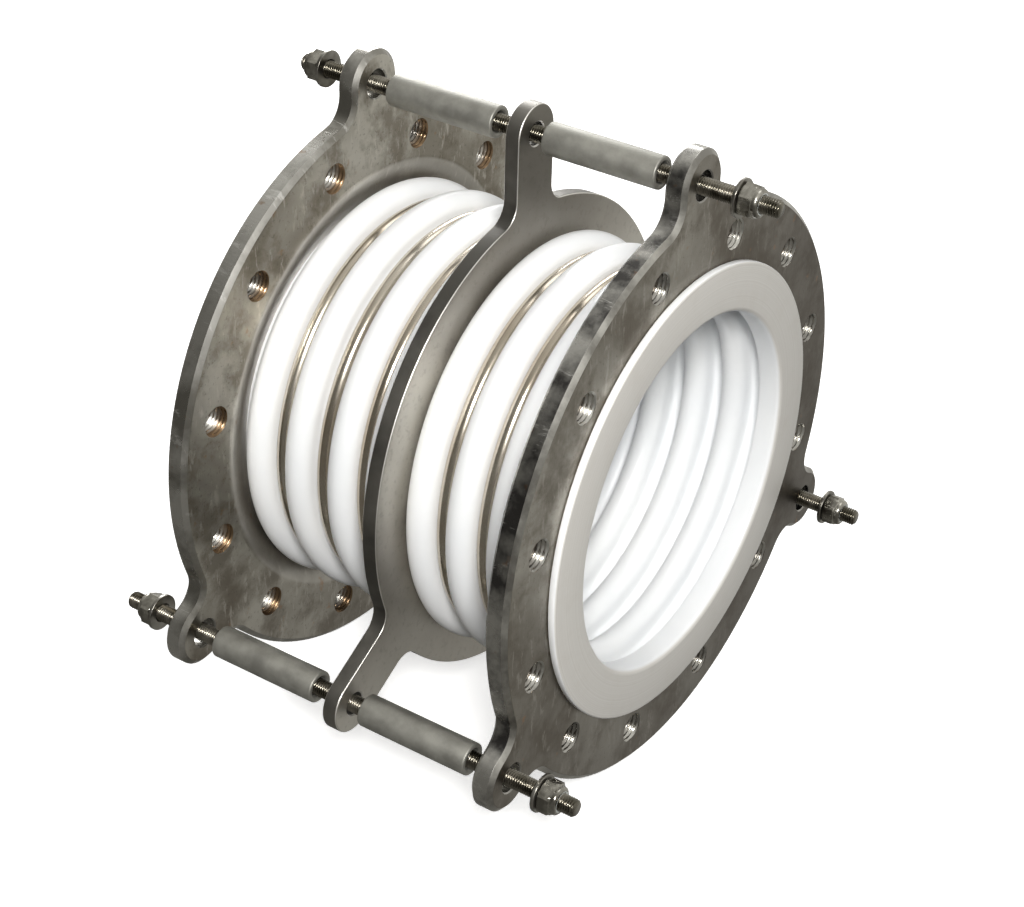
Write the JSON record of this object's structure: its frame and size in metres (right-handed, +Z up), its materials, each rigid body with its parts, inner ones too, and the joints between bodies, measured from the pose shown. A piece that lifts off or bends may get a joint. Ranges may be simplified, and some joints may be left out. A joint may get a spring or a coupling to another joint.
{
  "type": "bellows expansion joint",
  "caption": "White PTFE bellows pipe expansion joint between tapped steel ring flanges, with root rings, a centre ring plate and threaded limit rods with spacer sleeves.",
  "frame": {"origin": "on the pipe axis, half way between the two flanges", "axes": "+X along the pipe towards the near flange, +Z up through the top limit rod"},
  "size_m": [0.3745, 0.4328, 0.451],
  "materials": {
    "flange_steel": "machined, dull",
    "plate_steel": "cut plate, matte",
    "polished_steel": "polished bar",
    "rod_steel": "rolled thread, semi-bright",
    "sleeve_steel": "mill finish tube, matte",
    "washer_steel": "stamped, semi-bright",
    "nut_steel": "bright",
    "fluoropolymer": "white, waxy satin",
    "nylon": "natural nylon"
  },
  "bodies": {
    "far_end": {"far_flange": "flange_steel", "bellows": "fluoropolymer"},
    "near_end": {"near_flange": "flange_steel"},
    "root_ring_1": {"root_ring_1": "polished_steel"},
    "root_ring_2": {"root_ring_2": "polished_steel"},
    "root_ring_3": {"root_ring_3": "polished_steel"},
    "root_ring_4": {"root_ring_4": "polished_steel"},
    "root_ring_5": {"root_ring_5": "polished_steel"},
    "root_ring_6": {"root_ring_6": "polished_steel"},
    "centre_ring": {"centre_ring": "plate_steel"},
    "top_near_sleeve": {"top_near_sleeve": "sleeve_steel"},
    "top_far_sleeve": {"top_far_sleeve": "sleeve_steel"},
    "top_limit_rod": {"top_rod": "rod_steel", "top_near_washer": "washer_steel", "top_near_nut": "nut_steel", "top_near_nut_insert": "nylon", "top_far_washer": "washer_steel", "top_far_nut": "nut_steel", "top_far_nut_insert": "nylon"},
    "right_near_sleeve": {"right_near_sleeve": "sleeve_steel"},
    "right_far_sleeve": {"right_far_sleeve": "sleeve_steel"},
    "right_limit_rod": {"right_rod": "rod_steel", "right_near_washer": "washer_steel", "right_near_nut": "nut_steel", "right_near_nut_insert": "nylon", "right_far_washer": "washer_steel", "right_far_nut": "nut_steel", "right_far_nut_insert": "nylon"},
    "left_near_sleeve": {"left_near_sleeve": "sleeve_steel"},
    "left_far_sleeve": {"left_far_sleeve": "sleeve_steel"},
    "left_limit_rod": {"left_rod": "rod_steel", "left_near_washer": "washer_steel", "left_near_nut": "nut_steel", "left_near_nut_insert": "nylon", "left_far_washer": "washer_steel", "left_far_nut": "nut_steel", "left_far_nut_insert": "nylon"}
  },
  "joints": [
    {"name": "axial_travel", "type": "slide", "parent": "far_end", "child": "near_end", "axis": [1, 0, 0], "range_m": [-0.046, 0.039], "stiffness_N_per_m": 10000, "deforming": ["bellows"]},
    {"name": "root_ring_1_travel", "type": "slide", "parent": "far_end", "child": "root_ring_1", "axis": [1, 0, 0], "range_m": [-0.00576, 0.00488]},
    {"name": "root_ring_2_travel", "type": "slide", "parent": "far_end", "child": "root_ring_2", "axis": [1, 0, 0], "range_m": [-0.01152, 0.00977]},
    {"name": "root_ring_3_travel", "type": "slide", "parent": "far_end", "child": "root_ring_3", "axis": [1, 0, 0], "range_m": [-0.01728, 0.01465]},
    {"name": "root_ring_4_travel", "type": "slide", "parent": "far_end", "child": "root_ring_4", "axis": [1, 0, 0], "range_m": [-0.02881, 0.02442]},
    {"name": "root_ring_5_travel", "type": "slide", "parent": "far_end", "child": "root_ring_5", "axis": [1, 0, 0], "range_m": [-0.03457, 0.02931]},
    {"name": "root_ring_6_travel", "type": "slide", "parent": "far_end", "child": "root_ring_6", "axis": [1, 0, 0], "range_m": [-0.04033, 0.03419]},
    {"name": "centre_ring_travel", "type": "slide", "parent": "far_end", "child": "centre_ring", "axis": [1, 0, 0], "range_m": [-0.02305, 0.01954]},
    {"name": "top_far_sleeve_travel", "type": "slide", "parent": "far_end", "child": "top_far_sleeve", "axis": [1, 0, 0], "range_m": [-0.01152, 0.00977]},
    {"name": "top_near_sleeve_travel", "type": "slide", "parent": "far_end", "child": "top_near_sleeve", "axis": [1, 0, 0], "range_m": [-0.03272, 0.02774]},
    {"name": "top_limit_rod_travel", "type": "slide", "parent": "far_end", "child": "top_limit_rod", "axis": [1, 0, 0], "range_m": [-0.02512, 0.0213]},
    {"name": "right_far_sleeve_travel", "type": "slide", "parent": "far_end", "child": "right_far_sleeve", "axis": [1, 0, 0], "range_m": [-0.01152, 0.00977]},
    {"name": "right_near_sleeve_travel", "type": "slide", "parent": "far_end", "child": "right_near_sleeve", "axis": [1, 0, 0], "range_m": [-0.03272, 0.02774]},
    {"name": "right_limit_rod_travel", "type": "slide", "parent": "far_end", "child": "right_limit_rod", "axis": [1, 0, 0], "range_m": [-0.02512, 0.0213]},
    {"name": "left_far_sleeve_travel", "type": "slide", "parent": "far_end", "child": "left_far_sleeve", "axis": [1, 0, 0], "range_m": [-0.01152, 0.00977]},
    {"name": "left_near_sleeve_travel", "type": "slide", "parent": "far_end", "child": "left_near_sleeve", "axis": [1, 0, 0], "range_m": [-0.03272, 0.02774]},
    {"name": "left_limit_rod_travel", "type": "slide", "parent": "far_end", "child": "left_limit_rod", "axis": [1, 0, 0], "range_m": [-0.02512, 0.0213]}
  ],
  "couplings": [
    {"joint": "root_ring_1_travel", "follows": "axial_travel", "ratio": 0.125},
    {"joint": "root_ring_2_travel", "follows": "axial_travel", "ratio": 0.25},
    {"joint": "root_ring_3_travel", "follows": "axial_travel", "ratio": 0.375},
    {"joint": "root_ring_4_travel", "follows": "axial_travel", "ratio": 0.625},
    {"joint": "root_ring_5_travel", "follows": "axial_travel", "ratio": 0.75},
    {"joint": "root_ring_6_travel", "follows": "axial_travel", "ratio": 0.875},
    {"joint": "centre_ring_travel", "follows": "axial_travel", "ratio": 0.5},
    {"joint": "top_far_sleeve_travel", "follows": "axial_travel", "ratio": 0.25},
    {"joint": "top_near_sleeve_travel", "follows": "axial_travel", "ratio": 0.71},
    {"joint": "top_limit_rod_travel", "follows": "axial_travel", "ratio": 0.545},
    {"joint": "right_far_sleeve_travel", "follows": "axial_travel", "ratio": 0.25},
    {"joint": "right_near_sleeve_travel", "follows": "axial_travel", "ratio": 0.71},
    {"joint": "right_limit_rod_travel", "follows": "axial_travel", "ratio": 0.545},
    {"joint": "left_far_sleeve_travel", "follows": "axial_travel", "ratio": 0.25},
    {"joint": "left_near_sleeve_travel", "follows": "axial_travel", "ratio": 0.71},
    {"joint": "left_limit_rod_travel", "follows": "axial_travel", "ratio": 0.545}
  ]
}
